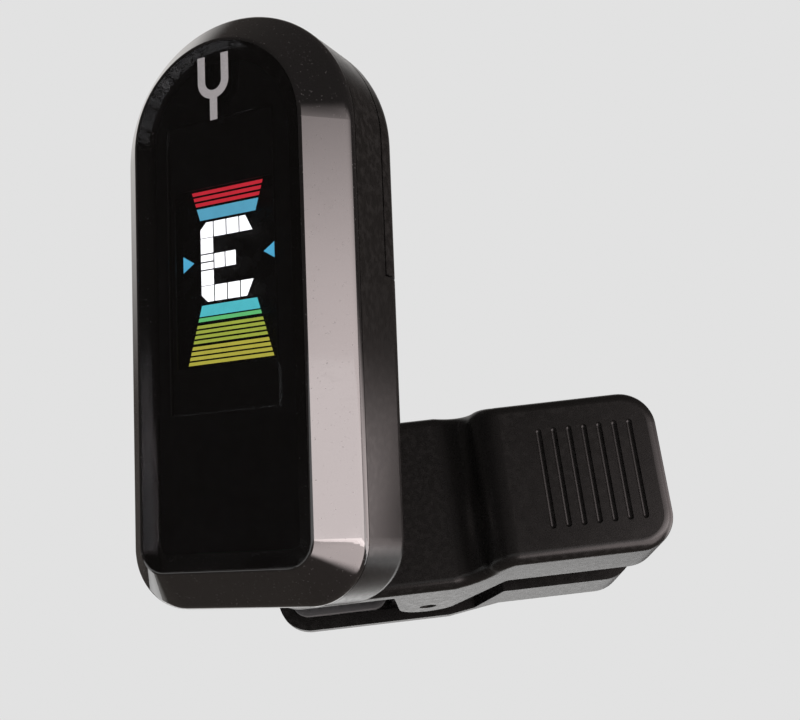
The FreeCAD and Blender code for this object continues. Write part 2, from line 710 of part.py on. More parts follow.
def front_arm_side():
    """Side view of the front arm: plate line, lever wall and hinge ear."""
    z = -ROOT_HALF_WIDTH
    lift = Vector(0, 0, z)
    wall_edge = LEVER_FACE + LEVER_WALL
    rim = FRONT_FACE + PLATE + JAW_RIM
    ear_back = Vector(19.5, wall_edge, 0)
    ear_front = Vector(6.6, rim, 0)
    touch_back = tangent_point(ear_back, EAR_RADIUS, 1)
    touch_front = tangent_point(ear_front, EAR_RADIUS, -1)
    top = Vector(HINGE_X, HINGE_Y + EAR_RADIUS, 0)
    first, second = bend_edges(FRONT_FACE, 0, z)
    edges = [
        line(Vector(JAW_TIP, FRONT_FACE, z), Vector(BEND_START, FRONT_FACE, z)),
        first,
        second,
        line(Vector(BEND_END, LEVER_FACE, z), Vector(LEVER_END, LEVER_FACE, z)),
        line(Vector(LEVER_END, LEVER_FACE, z), Vector(LEVER_END, wall_edge, z)),
        line(Vector(LEVER_END, wall_edge, z), ear_back + lift),
        line(ear_back + lift, touch_back + lift),
        arc(touch_back + lift, top + lift, touch_front + lift),
        line(touch_front + lift, ear_front + lift),
        line(ear_front + lift, Vector(JAW_TIP, rim, z)),
        line(Vector(JAW_TIP, rim, z), Vector(JAW_TIP, FRONT_FACE, z)),
    ]
    return prism(edges, Vector(0, 0, 2 * ROOT_HALF_WIDTH))


def front_arm_channel():
    """Everything above the front arm's plate, to be cut from between its walls."""
    z = -ROOT_HALF_WIDTH
    floor = FRONT_FACE + PLATE
    lever_floor = LEVER_FACE + PLATE
    first, second = bend_edges(FRONT_FACE, PLATE, z)
    corners = [
        Vector(BEND_END, lever_floor, z),
        Vector(REACH, lever_floor, z),
        Vector(REACH, REACH, z),
        Vector(-REACH, REACH, z),
        Vector(-REACH, floor, z),
        Vector(BEND_START, floor, z),
    ]
    sides = [line(start, end) for start, end in zip(corners[:-1], corners[1:])]
    return prism([first, second] + sides, Vector(0, 0, 2 * ROOT_HALF_WIDTH))


def hinge_axis(half_length):
    centre = Vector(HINGE_X, HINGE_Y, 0)
    return centre - ALONG_Z * half_length, centre + ALONG_Z * half_length


def grip_grooves(face, push):
    """Fine parallel grooves across a lever's outer face."""
    grooves = []
    for count in range(GRIP_RIBS):
        x = GRIP_START + GRIP_PITCH * count
        depth = Vector(0, push * (GRIP_WIDTH / 2 - GRIP_DEPTH), 0)
        start = Vector(x, face, -GRIP_HALF_LENGTH) - depth
        end = Vector(x, face, GRIP_HALF_LENGTH) - depth
        grooves.append(rod(GRIP_WIDTH / 2, start, end))
        grooves.append(Part.makeSphere(GRIP_WIDTH / 2, start))
        grooves.append(Part.makeSphere(GRIP_WIDTH / 2, end))
    return grooves


def on_front_outer_face(edge_box):
    """Edges round the outer face of jaw, bend and lever, but none across the bend."""
    on_face = edge_box.YMin > LEVER_FACE - TOUCH and edge_box.YMax < FRONT_FACE + TOUCH
    crosses = edge_box.XLength < TOUCH and JAW_TIP + SIDE < edge_box.XMin < LEVER_END - SIDE
    return on_face and not crosses


def front_arm():
    outer = front_arm_side().common(arm_outline(0, LEVER_END, -REACH, REACH))
    outer = rounded(outer, EDGE_ROUND, on_front_outer_face)
    channel = front_arm_channel().common(arm_outline(SIDE, LEVER_END, -REACH, REACH))
    inner_face = FRONT_FACE + PLATE
    cuts = [
        rod(HINGE_PIN_RADIUS, *hinge_axis(ROOT_HALF_WIDTH)),
        rod(RIVET_RADIUS, ALONG_Y * FRONT_FACE, ALONG_Y * inner_face),
        rod(RIVET_HEAD_RADIUS, ALONG_Y * (inner_face - RIVET_HEAD_HEIGHT), ALONG_Y * inner_face),
    ]
    return outer.cut([channel] + cuts + grip_grooves(LEVER_FACE, 1))


def rear_arm_side():
    """Side view of the rear arm: straight plate with a deep wall on its lever."""
    z = -ROOT_HALF_WIDTH
    inner = REAR_FACE - PLATE
    wall_edge = REAR_FACE - REAR_LEVER_WALL
    rim = inner - JAW_RIM
    corners = [
        Vector(JAW_TIP, REAR_FACE, z),
        Vector(REAR_LEVER_END, REAR_FACE, z),
        Vector(REAR_LEVER_END, wall_edge, z),
        Vector(20.0, wall_edge, z),
        Vector(16.8, rim, z),
        Vector(JAW_TIP, rim, z),
    ]
    corners.append(corners[0])
    return prism([Part.makePolygon(corners)], Vector(0, 0, 2 * ROOT_HALF_WIDTH))


def rear_arm_ears():
    """Inner ears of the rear arm, just inside the front arm's ears."""
    inner = REAR_FACE - PLATE
    ears = []
    high = ROOT_HALF_WIDTH - SIDE - EAR_GAP
    low = high - SIDE
    base_back = Vector(17.5, inner + 0.1, 0)
    base_front = Vector(6.2, inner + 0.1, 0)
    touch_back = tangent_point(base_back, EAR_RADIUS, -1)
    touch_front = tangent_point(base_front, EAR_RADIUS, 1)
    bottom = Vector(HINGE_X, HINGE_Y - EAR_RADIUS, 0)
    for start in (low, -high):
        lift = Vector(0, 0, start)
        edges = [
            line(base_front + lift, base_back + lift),
            line(base_back + lift, touch_back + lift),
            arc(touch_back + lift, bottom + lift, touch_front + lift),
            line(touch_front + lift, base_front + lift),
        ]
        ears.append(prism(edges, Vector(0, 0, SIDE)))
    return ears


def rear_arm():
    outer = rear_arm_side().common(arm_outline(0, REAR_LEVER_END, -REACH, REACH))
    above_plate = block((-REACH, REACH), (-REACH, REAR_FACE - PLATE), (-REACH, REACH))
    channel = above_plate.common(arm_outline(SIDE, REAR_LEVER_END, -REACH, REACH))
    outer = rounded(outer, EDGE_ROUND, at_depth(REAR_FACE))
    arm = joined([outer.cut(channel)] + rear_arm_ears())
    bore = rod(HINGE_PIN_RADIUS + RUNNING_CLEARANCE, *hinge_axis(ROOT_HALF_WIDTH))
    return arm.cut([bore] + grip_grooves(REAR_FACE, -1))


def pad(face, push):
    """A soft jaw pad; face is its gripping side and push points to its arm."""
    depth = sorted((face, face + push * PAD_THICKNESS))
    shape = block((-PAD_HALF_LENGTH, PAD_HALF_LENGTH), depth, (-PAD_HALF_WIDTH, PAD_HALF_WIDTH))
    shape = rounded(shape, PAD_CORNER, lambda edge_box: edge_box.YLength > PAD_THICKNESS - TOUCH)
    return rounded(shape, PAD_EDGE, at_depth(face))


def hinge_pin():
    return rod(HINGE_PIN_RADIUS, *hinge_axis(ROOT_HALF_WIDTH - HINGE_PIN_INSET))


def wire_run(start, end):
    return [rod(SPRING_WIRE_RADIUS, start, end), Part.makeSphere(SPRING_WIRE_RADIUS, end)]


def leg_start(z, height_sign):
    return Vector(HINGE_X, HINGE_Y + height_sign * SPRING_COIL_RADIUS, z)


def torsion_spring():
    """Coil round the hinge pin with the leg that presses the front lever."""
    path = Part.makeHelix(SPRING_PITCH, SPRING_PITCH * SPRING_TURNS, SPRING_COIL_RADIUS)
    section = Part.makeCircle(SPRING_WIRE_RADIUS, Vector(SPRING_COIL_RADIUS, 0, 0), ALONG_Y)
    coil = Part.Wire(path.Edges).makePipeShell([Part.Wire(section)], True, True)
    coil.rotate(ORIGIN, ALONG_Z, -90)
    coil.translate(Vector(HINGE_X, HINGE_Y, SPRING_BOTTOM))
    start = leg_start(SPRING_BOTTOM, -1)
    end = Vector(SPRING_LEG_END, LEVER_FACE + PLATE + SPRING_WIRE_RADIUS, SPRING_BOTTOM)
    return joined([coil, Part.makeSphere(SPRING_ELBOW_RADIUS, start)] + wire_run(start, end))


def spring_rear_leg():
    """Last half turn of the spring wire with the leg that presses the rear lever."""
    z = SPRING_BOTTOM + SPRING_PITCH * SPRING_TURNS + 2 * SPRING_WIRE_RADIUS + EAR_GAP
    centre = Vector(HINGE_X, HINGE_Y, z)
    half_turn = Part.makeTorus(SPRING_COIL_RADIUS, SPRING_WIRE_RADIUS, centre, ALONG_Z, 0, 360, 180)
    half_turn.rotate(centre, ALONG_Z, 90)
    start = leg_start(z, 1)
    end = Vector(SPRING_LEG_END, REAR_FACE - PLATE - SPRING_WIRE_RADIUS, z)
    return joined([half_turn, Part.makeSphere(SPRING_WIRE_RADIUS, start)] + wire_run(start, end))


def make_parts():
    parts = {
        "front_case": in_head(front_case()),
        "lens_window": in_head(lens_window()),
        "display_mask": in_head(display_mask()),
        "lcd_panel": in_head(lcd_panel()),
        "backlight": in_head(backlight()),
        "lcd_connectors": in_head(lcd_connectors()),
        "circuit_board": in_head(circuit_board()),
        "board_components": in_head(board_components()),
        "tact_switches": in_head(tact_switches()),
        "piezo_disc": in_head(piezo_disc()),
        "piezo_ceramic": in_head(piezo_ceramic()),
        "piezo_wires": in_head(piezo_wires()),
        "coin_cell": in_head(coin_cell()),
        "negative_contact": in_head(negative_contact()),
        "positive_contact": in_head(positive_contact()),
        "rear_case": in_head(rear_case()),
        "case_screws": in_head(case_screws()),
        "pan_pin": in_head(swivel_pin(PAN_IN_HEAD, ALONG_Z)),
        "battery_door": in_head(battery_door()),
        "swivel_knuckle": in_knuckle(swivel_knuckle()),
        "pan_washers": in_knuckle(washers(Vector(0, -SWIVEL_LINK, 0), ALONG_Z)),
        "tilt_washers": in_knuckle(washers(ORIGIN, ALONG_X)),
        "swivel_base": in_base(swivel_base()),
        "tilt_pin": in_base(swivel_pin(ORIGIN, ALONG_X)),
        "base_rivet": base_rivet(),
        "front_arm": front_arm(),
        "front_pad": pad(0, -1),
        "rear_arm": rear_arm(),
        "rear_pad": pad(JAW_OPENING, 1),
        "hinge_pin": hinge_pin(),
        "torsion_spring": torsion_spring(),
        "spring_rear_leg": spring_rear_leg(),
    }
    for name, height in BUTTON_HEIGHTS.items():
        parts[name] = in_head(button(height))
    return parts


os.makedirs("parts", exist_ok=True)
for node, shape in make_parts().items():
    shape.exportStep(os.path.join("parts", node + ".step"))
    print(node, len(shape.Solids), round(shape.Volume, 2), shape.isValid())
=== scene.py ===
import json
import math

import bmesh
import bpy
from mathutils import Matrix, Vector


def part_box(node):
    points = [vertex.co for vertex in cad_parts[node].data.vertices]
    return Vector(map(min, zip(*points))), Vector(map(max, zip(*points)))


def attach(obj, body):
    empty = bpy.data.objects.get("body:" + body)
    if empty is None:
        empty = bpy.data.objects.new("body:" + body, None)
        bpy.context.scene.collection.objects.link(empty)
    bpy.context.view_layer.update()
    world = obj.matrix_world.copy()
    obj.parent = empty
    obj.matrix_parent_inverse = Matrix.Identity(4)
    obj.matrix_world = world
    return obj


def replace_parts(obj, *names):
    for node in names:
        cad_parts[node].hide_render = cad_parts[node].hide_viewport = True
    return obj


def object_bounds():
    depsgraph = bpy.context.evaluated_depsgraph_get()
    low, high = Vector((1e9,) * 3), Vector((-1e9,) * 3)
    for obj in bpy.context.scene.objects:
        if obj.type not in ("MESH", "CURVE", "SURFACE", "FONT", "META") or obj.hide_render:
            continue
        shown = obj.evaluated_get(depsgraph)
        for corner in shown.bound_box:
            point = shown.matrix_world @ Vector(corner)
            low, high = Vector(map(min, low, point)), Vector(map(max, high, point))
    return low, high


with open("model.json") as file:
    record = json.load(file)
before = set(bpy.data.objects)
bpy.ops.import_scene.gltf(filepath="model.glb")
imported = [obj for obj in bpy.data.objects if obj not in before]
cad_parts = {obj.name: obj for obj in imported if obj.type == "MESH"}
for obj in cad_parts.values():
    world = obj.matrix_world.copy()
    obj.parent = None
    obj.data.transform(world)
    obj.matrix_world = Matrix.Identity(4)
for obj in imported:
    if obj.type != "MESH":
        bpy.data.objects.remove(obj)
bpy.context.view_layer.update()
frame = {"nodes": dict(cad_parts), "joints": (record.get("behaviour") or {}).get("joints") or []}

MM = 0.001
JOINTS = {joint["name"]: joint for joint in frame["joints"]}

# --- the display head's own frame ---------------------------------------------
# x right, y back from the face, z up, in millimetres from the foot of the face.
def local_box(node, turn):
    """Lowest and highest corners of a CAD node along a turned set of axes."""
    back_turn = turn.transposed()
    points = [back_turn @ vertex.co for vertex in frame["nodes"][node].data.vertices]
    low = Vector([min(point[axis] for point in points) for axis in range(3)])
    high = Vector([max(point[axis] for point in points) for axis in range(3)])
    return low, high


def head_frame():
    """The head's matrix from millimetres to the row frame."""
    right = Vector(JOINTS["power_press"]["axis"])
    back = Vector(JOINTS["door_release"]["axis"])
    turn = Matrix((right, back, right.cross(back))).transposed()
    low, high = local_box("front_case", turn)
    foot = turn @ Vector(((low.x + high.x) / 2, low.y, low.z))
    return Matrix.Translation(foot) @ turn.to_4x4() @ Matrix.Scale(MM, 4)


HEAD = head_frame()


# --- materials ---------------------------------------------------------------
class Nodes:
    """Small helper to add and join shader nodes."""

    def __init__(self, name):
        self.material = bpy.data.materials.new(name)
        self.material.use_nodes = True
        self.tree = self.material.node_tree
        self.shader = self.tree.nodes["Principled BSDF"]
        self.place = self.add("ShaderNodeTexCoord").outputs["Object"]

    def add(self, kind, **values):
        node = self.tree.nodes.new(kind)
        for key, value in values.items():
            setattr(node, key, value)
        return node

    def link(self, source, target):
        self.tree.links.new(source, target)

    def set(self, **values):
        """Set the shader's own sockets, with _ for each space in their names."""
        for key, value in values.items():
            self.shader.inputs[key.replace("_", " ")].default_value = value

    def noise(self, size_mm, detail=3.0, rough=0.5, stretch=(1, 1, 1)):
        """Noise whose features are about size_mm across, as a 0 to 1 value."""
        mapping = self.add("ShaderNodeMapping")
        mapping.inputs["Scale"].default_value = [each / (size_mm * MM) for each in stretch]
        texture = self.add("ShaderNodeTexNoise")
        texture.inputs["Scale"].default_value = 1.0
        texture.inputs["Detail"].default_value = detail
        texture.inputs["Roughness"].default_value = rough
        self.link(self.place, mapping.inputs["Vector"])
        self.link(mapping.outputs["Vector"], texture.inputs["Vector"])
        return texture.outputs["Fac"]

    def ramp(self, source, low, high, start=0.35, end=0.65):
        """Remap a 0 to 1 value between two values or colours."""
        node = self.add("ShaderNodeMapRange")
        node.inputs["From Min"].default_value = start
        node.inputs["From Max"].default_value = end
        node.inputs["To Min"].default_value = low
        node.inputs["To Max"].default_value = high
        self.link(source, node.inputs["Value"])
        return node.outputs["Result"]

    def blend(self, source, low, high):
        """Mix two colours by a 0 to 1 value."""
        node = self.add("ShaderNodeMix", data_type="RGBA")
        node.inputs["A"].default_value = (*low, 1)
        node.inputs["B"].default_value = (*high, 1)
        self.link(source, node.inputs["Factor"])
        return node.outputs["Result"]

    def mixed(self, source, under, over):
        """Lay a colour over a socket's colour, by a 0 to 1 value."""
        node = self.add("ShaderNodeMix", data_type="RGBA")
        self.link(source, node.inputs["Factor"])
        self.link(under, node.inputs["A"])
        node.inputs["B"].default_value = (*over, 1)
        return node.outputs["Result"]

    def math(self, operation, first, second):
        """Join two sockets or numbers with a clamped math node."""
        node = self.add("ShaderNodeMath", operation=operation, use_clamp=True)
        for socket, value in zip(node.inputs, (first, second)):
            if isinstance(value, (int, float)):
                socket.default_value = value
            else:
                self.link(value, socket)
        return node.outputs["Value"]

    def edges(self, low=0.52, high=0.60):
        """Rises to 1 on sharp outside edges, for wear."""
        geometry = self.add("ShaderNodeNewGeometry")
        return self.ramp(geometry.outputs["Pointiness"], 0.0, 1.0, low, high)

    def bump(self, height, depth_mm, strength=1.0):
        """Drive the surface normal from a height, depth_mm deep."""
        node = self.add("ShaderNodeBump")
        node.inputs["Strength"].default_value = strength
        node.inputs["Distance"].default_value = depth_mm * MM
        self.link(height, node.inputs["Height"])
        self.link(node.outputs["Normal"], self.shader.inputs["Normal"])


def gloss_black():
    """Polished black moulding with hairline scratches and dust."""
    n = Nodes("gloss_black")
    n.set(IOR=1.8, Coat_Weight=0.8, Coat_Roughness=0.03)
    haze = n.noise(6.0, 4.0)
    scratch = n.noise(0.9, 2.0, 0.6, (0.06, 1, 1))
    dust = n.ramp(n.noise(0.22, 1.0), 0.0, 1.0, 0.70, 0.74)
    rough = n.math("ADD", n.ramp(haze, 0.05, 0.10), n.ramp(scratch, 0.0, 0.05, 0.55, 0.75))
    n.link(n.math("ADD", rough, n.math("MULTIPLY", dust, 0.25)), n.shader.inputs["Roughness"])
    colour = n.blend(haze, (0.0035, 0.0033, 0.0035), (0.006, 0.0055, 0.0055))
    n.link(n.mixed(n.math("MULTIPLY", dust, 0.12), colour, (0.2, 0.19, 0.18)), n.shader.inputs["Base Color"])
    n.bump(n.noise(2.6, 2.0), 0.004, 0.5)
    return n.material


def smoked_glass():
    """Clear acrylic window with a dark tint."""
    n = Nodes("smoked_glass")
    n.set(IOR=1.49, Transmission_Weight=1.0)
    n.link(n.ramp(n.noise(5.0, 3.0), 0.012, 0.03), n.shader.inputs["Roughness"])
    n.link(n.blend(n.noise(9.0), (0.34, 0.34, 0.355), (0.38, 0.38, 0.395)), n.shader.inputs["Base Color"])
    n.bump(n.noise(3.5, 1.0), 0.002, 0.3)
    return n.material


def textured_plastic(name, dark, light, rough_low, rough_high, grain_mm, grain_depth):
    """Moulded plastic with a fine spark-eroded grain and rubbed edges."""
    n = Nodes(name)
    n.set(IOR=1.45)
    mottle = n.noise(1.3, 5.0, 0.6)
    grain = n.noise(grain_mm, 2.0, 0.6)
    wear = n.math("MULTIPLY", n.edges(), n.ramp(n.noise(0.7, 4.0), 0.0, 1.0, 0.45, 0.62))
    colour = n.blend(mottle, dark, light)
    lighter = [2.0 * each + 0.008 for each in light]
    n.link(n.mixed(n.math("MULTIPLY", wear, 0.4), colour, lighter), n.shader.inputs["Base Color"])
    rough = n.ramp(mottle, rough_low, rough_high, 0.3, 0.7)
    rough = n.math("ADD", rough, n.ramp(grain, -0.02, 0.03))
    n.link(n.math("SUBTRACT", rough, n.math("MULTIPLY", wear, 0.05)), n.shader.inputs["Roughness"])
    n.bump(grain, grain_depth, 0.75)
    return n.material


def brushed_metal(name, dark, light, rough=0.28, stretch=(0.08, 1, 1)):
    """Metal with fine grinding lines along one axis and uneven tarnish."""
    n = Nodes(name)
    n.set(Metallic=1.0)
    lines = n.noise(0.16, 2.0, 0.6, stretch)
    tarnish = n.noise(1.4, 4.0)
    n.link(n.blend(tarnish, dark, light), n.shader.inputs["Base Color"])
    uneven = n.math("ADD", n.ramp(lines, rough - 0.08, rough + 0.1), n.ramp(tarnish, 0.0, 0.1))
    n.link(uneven, n.shader.inputs["Roughness"])
    n.bump(lines, 0.006, 0.4)
    return n.material


def soft_rubber(name, dark, light):
    """Matt rubber with a fine grain and a little lint."""
    n = Nodes(name)
    n.set(IOR=1.43, Sheen_Weight=0.25, Sheen_Roughness=0.5)
    cloud = n.noise(2.2, 4.0)
    grain = n.noise(0.13, 2.0)
    lint = n.ramp(n.noise(0.3, 1.0), 0.0, 1.0, 0.70, 0.74)
    colour = n.blend(cloud, dark, light)
    n.link(n.mixed(n.math("MULTIPLY", lint, 0.2), colour, (0.22, 0.21, 0.2)), n.shader.inputs["Base Color"])
    n.link(n.ramp(cloud, 0.62, 0.78), n.shader.inputs["Roughness"])
    n.bump(grain, 0.012, 0.8)
    return n.material


def circuit_green():
    """Solder-masked board with lighter copper runs under the mask."""
    n = Nodes("circuit_green")
    n.set(Coat_Weight=0.3, Coat_Roughness=0.15)
    brick = n.add("ShaderNodeTexBrick")
    brick.inputs["Scale"].default_value = 1.0 / (2.4 * MM)
    brick.inputs["Color1"].default_value = (0.012, 0.11, 0.045, 1)
    brick.inputs["Color2"].default_value = (0.018, 0.15, 0.06, 1)
    brick.inputs["Mortar"].default_value = (0.03, 0.22, 0.1, 1)
    n.link(n.place, brick.inputs["Vector"])
    n.link(brick.outputs["Color"], n.shader.inputs["Base Color"])
    n.link(n.ramp(n.noise(1.5), 0.3, 0.5), n.shader.inputs["Roughness"])
    n.bump(brick.outputs["Fac"], 0.02, 0.4)
    return n.material


def plain_variation(name, dark, light, rough, metallic=0.0, feature_mm=1.2):
    """Two-tone, with uneven gloss and a light grain, mostly for small hidden pieces."""
    n = Nodes(name)
    n.set(Metallic=metallic)
    cloud = n.noise(feature_mm, 4.0)
    n.link(n.blend(cloud, dark, light), n.shader.inputs["Base Color"])
    n.link(n.ramp(cloud, rough - 0.08, rough + 0.08), n.shader.inputs["Roughness"])
    n.bump(n.noise(feature_mm / 6), 0.01, 0.4)
    return n.material


def lit(name, colour, strength):
    """A lit display segment: slightly uneven glow from the light guide."""
    n = Nodes(name)
    n.set(Roughness=0.5, Emission_Strength=strength)
    uneven = n.noise(1.1, 2.0)
    glow = n.blend(uneven, [0.80 * each for each in colour], colour)
    body = n.blend(uneven, [0.10 * each for each in colour], [0.14 * each for each in colour])
    n.link(glow, n.shader.inputs["Emission Color"])
    n.link(body, n.shader.inputs["Base Color"])
    return n.material


def printed_silver():
    """Silver ink with flakes."""
    n = Nodes("printed_silver")
    n.set(Metallic=0.35)
    flake = n.noise(0.12, 2.0)
    n.link(n.blend(flake, (0.34, 0.32, 0.33), (0.62, 0.60, 0.61)), n.shader.inputs["Base Color"])
    n.link(n.ramp(flake, 0.32, 0.5), n.shader.inputs["Roughness"])
    n.bump(flake, 0.01, 0.5)
    return n.material


BLACK_LOW = (0.0041, 0.0038, 0.0036)
BLACK_HIGH = (0.0055, 0.0050, 0.0047)
SATIN = textured_plastic("satin_black", BLACK_LOW, BLACK_HIGH, 0.20, 0.22, 0.14, 0.0025)
CLIP = textured_plastic("clip_black", BLACK_LOW, BLACK_HIGH, 0.27, 0.295, 0.17, 0.005)
SWIVEL = textured_plastic("swivel_black", BLACK_LOW, BLACK_HIGH, 0.29, 0.315, 0.16, 0.006)
STEEL = brushed_metal("brushed_steel", (0.42, 0.41, 0.40), (0.62, 0.61, 0.60))
SPRING = brushed_metal("spring_steel", (0.36, 0.35, 0.34), (0.55, 0.54, 0.53), 0.24, (1, 1, 0.1))
BLACKENED = brushed_metal("blackened_steel", (0.10, 0.098, 0.095), (0.17, 0.166, 0.16), 0.30, (1, 1, 1))
NICKEL = brushed_metal("nickel_plate", (0.62, 0.60, 0.56), (0.78, 0.76, 0.72), 0.22)
SYMBOL_INK = plain_variation("symbol_ink", (0.30, 0.29, 0.28), (0.40, 0.39, 0.38), 0.5, 0.0, 0.5)
RUBBER = soft_rubber("pad_rubber", (0.020, 0.020, 0.021), (0.032, 0.032, 0.034))

NODE_MATERIALS = {
    "front_case": gloss_black(),
    "lens_window": smoked_glass(),
    "rear_case": SATIN,
    "battery_door": SATIN,
    "power_button": SATIN,
    "up_button": SATIN,
    "down_button": SATIN,
    "front_arm": CLIP,
    "rear_arm": CLIP,
    "swivel_base": SWIVEL,
    "swivel_knuckle": SWIVEL,
    "display_mask": plain_variation("mask_ink", (0.002, 0.002, 0.002), (0.004, 0.004, 0.004), 0.7),
    "lcd_panel": plain_variation("lcd_glass", (0.003, 0.003, 0.004), (0.006, 0.006, 0.008), 0.25),
    "backlight": plain_variation("light_guide", (0.70, 0.72, 0.75), (0.85, 0.87, 0.9), 0.3),
    "lcd_connectors": plain_variation("elastomer", (0.25, 0.25, 0.26), (0.4, 0.4, 0.41), 0.7),
    "circuit_board": circuit_green(),
    "board_components": plain_variation("chip_resin", (0.02, 0.02, 0.021), (0.035, 0.035, 0.037), 0.45),
    "tact_switches": plain_variation("switch_body", (0.03, 0.03, 0.03), (0.06, 0.06, 0.06), 0.4),
    "piezo_disc": brushed_metal("piezo_brass", (0.62, 0.44, 0.18), (0.78, 0.58, 0.28), 0.3),
    "piezo_ceramic": plain_variation("piezo_coating", (0.66, 0.64, 0.58), (0.8, 0.78, 0.72), 0.55),
    "piezo_wires": plain_variation("lead_sheath", (0.30, 0.02, 0.015), (0.45, 0.035, 0.025), 0.5),
    "coin_cell": NICKEL,
    "negative_contact": NICKEL,
    "positive_contact": NICKEL,
    "case_screws": STEEL,
    "pan_pin": BLACKENED,
    "tilt_pin": BLACKENED,
    "hinge_pin": STEEL,
    "base_rivet": BLACKENED,
    "torsion_spring": SPRING,
    "spring_rear_leg": SPRING,
    "pan_washers": plain_variation("washer_nylon", (0.55, 0.54, 0.5), (0.7, 0.69, 0.65), 0.5),
    "tilt_washers": plain_variation("washer_nylon_low", (0.55, 0.54, 0.5), (0.7, 0.69, 0.65), 0.5),
    "front_pad": RUBBER,
    "rear_pad": RUBBER,
}
SMOOTH_BELOW = math.radians(32)


def dress_cad_nodes():
    """Material and smooth shading for every carried-over CAD node."""
    for name, node in frame["nodes"].items():
        node.data.materials.clear()
        node.data.materials.append(NODE_MATERIALS[name])
        node.data.set_sharp_from_angle(angle=SMOOTH_BELOW)


# --- flat shapes on the head -------------------------------------------------
def plate(name, outlines, front, back, matrix, material, body):
    """Closed plates from (x, z) outlines, between two depths, as one piece."""
    mesh = bmesh.new()
    for outline in outlines:
        near = [mesh.verts.new(matrix @ Vector((x, front, z))) for x, z in outline]
        far = [mesh.verts.new(matrix @ Vector((x, back, z))) for x, z in outline]
        count = len(outline)
        mesh.faces.new(near)
        mesh.faces.new(list(reversed(far)))
        for here in range(count):
            after = (here + 1) % count
            mesh.faces.new((near[after], near[here], far[here], far[after]))
    bmesh.ops.recalc_face_normals(mesh, faces=mesh.faces)
    finish_piece(name, mesh, material, body)


def finish_piece(name, mesh, material, body):
    """Turn a bmesh into a piece with one material that rides on a body."""
    data = bpy.data.meshes.new(name)
    mesh.to_mesh(data)
    mesh.free()
    data.materials.append(material)
    data.set_sharp_from_angle(angle=SMOOTH_BELOW)
    piece = bpy.data.objects.new(name, data)
    bpy.context.scene.collection.objects.link(piece)
    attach(piece, body)
    return piece


# --- display -----------------------------------------------------------------
# Depths are in millimetres back from the face, and heights up from its foot.
MASK_FRONT = 1.54
LCD_FRONT = 2.3
SEGMENT_THICKNESS = 0.03
SEGMENT_STANDOFF = 0.002
LETTER_GLOW = 4.6
BAR_GLOW = 3.7
SEGMENT_GAP = 0.14
TOP_BAR = (36.8, 40.0)
TOP_HALF = (3.1, 4.1)
LOW_BAR = (23.0, 28.7)
LOW_HALF = (4.8, 3.1)


def band(z_low, z_high, span, halves):
    """A level stripe whose ends follow a fan that widens linearly."""
    def half(z):
        return halves[0] + (halves[1] - halves[0]) * (z - span[0]) / (span[1] - span[0])

    return [(-half(z_low), z_low), (half(z_low), z_low), (half(z_high), z_high), (-half(z_high), z_high)]


def stripes(z_low, z_high, count, fill, span, halves):
    """Level stripes that fill a share of their pitch, within a fan."""
    pitch = (z_high - z_low) / count
    return [band(z_low + pitch * step, z_low + pitch * (step + fill), span, halves) for step in range(count)]


def letter_cells():
    """The note letter as cells of a segmented display, with hairline gaps."""
    gap = SEGMENT_GAP / 2
    left, stem, right = -3.2, -1.65, 2.75
    foot, low, mid_low, mid_high, high, top = 28.9, 30.5, 32.05, 33.6, 35.2, 36.75
    cut = 0.75
    cells = []
    for inner, outer in ((low, foot), (high, top)):
        toward = 1 if outer > inner else -1
        cells.append([
            (left + gap, inner), (left + gap, outer - toward * cut), (left + cut, outer - toward * gap),
            (stem - gap, outer - toward * gap), (stem - gap, inner),
        ])
        third = (right - stem) / 3
        for step in range(2):
            start = stem + third * step
            cells.append([
                (start + gap, inner), (start + gap, outer - toward * gap),
                (start + third - gap, outer - toward * gap), (start + third - gap, inner),
            ])
        start = stem + third * 2
        cells.append([
            (start + gap, inner), (start + gap, outer - toward * gap),
            (right - cut, outer - toward * gap), (right, inner),
        ])
    stem_rows = [low, mid_low, (mid_low + mid_high) / 2, mid_high, high]
    for bottom, ceiling in zip(stem_rows[:-1], stem_rows[1:]):
        cells.append([
            (left + gap, bottom + gap), (stem - gap, bottom + gap),
            (stem - gap, ceiling - gap), (left + gap, ceiling - gap),
        ])
    arm = (0.9 - stem) / 2
    for step in range(2):
        start = stem + arm * step
        cells.append([
            (start + gap, mid_low + gap), (start + arm - gap, mid_low + gap),
            (start + arm - gap, mid_high - gap), (start + gap, mid_high - gap),
        ])
    return cells


def pointers():
    """Two arrowheads that point at the letter from its sides."""
    height = 32.9
    outer, inner, half = 5.2, 3.95, 0.8
    return [
        [(side * outer, height - half), (side * outer, height + half), (side * inner, height)]
        for side in (-1, 1)
    ]


def build_mask():
    """The display mask, a hair behind the window's back face instead of on it."""
    data = frame["nodes"]["display_mask"].data.copy()
    into_head = HEAD.inverted()
    for vertex in data.vertices:
        place = into_head @ vertex.co
        place.y = max(place.y, MASK_FRONT)
        vertex.co = HEAD @ place
    mask = bpy.data.objects.new("printed_mask", data)
    bpy.context.scene.collection.objects.link(mask)
    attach(mask, "head")
    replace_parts(mask, "display_mask")


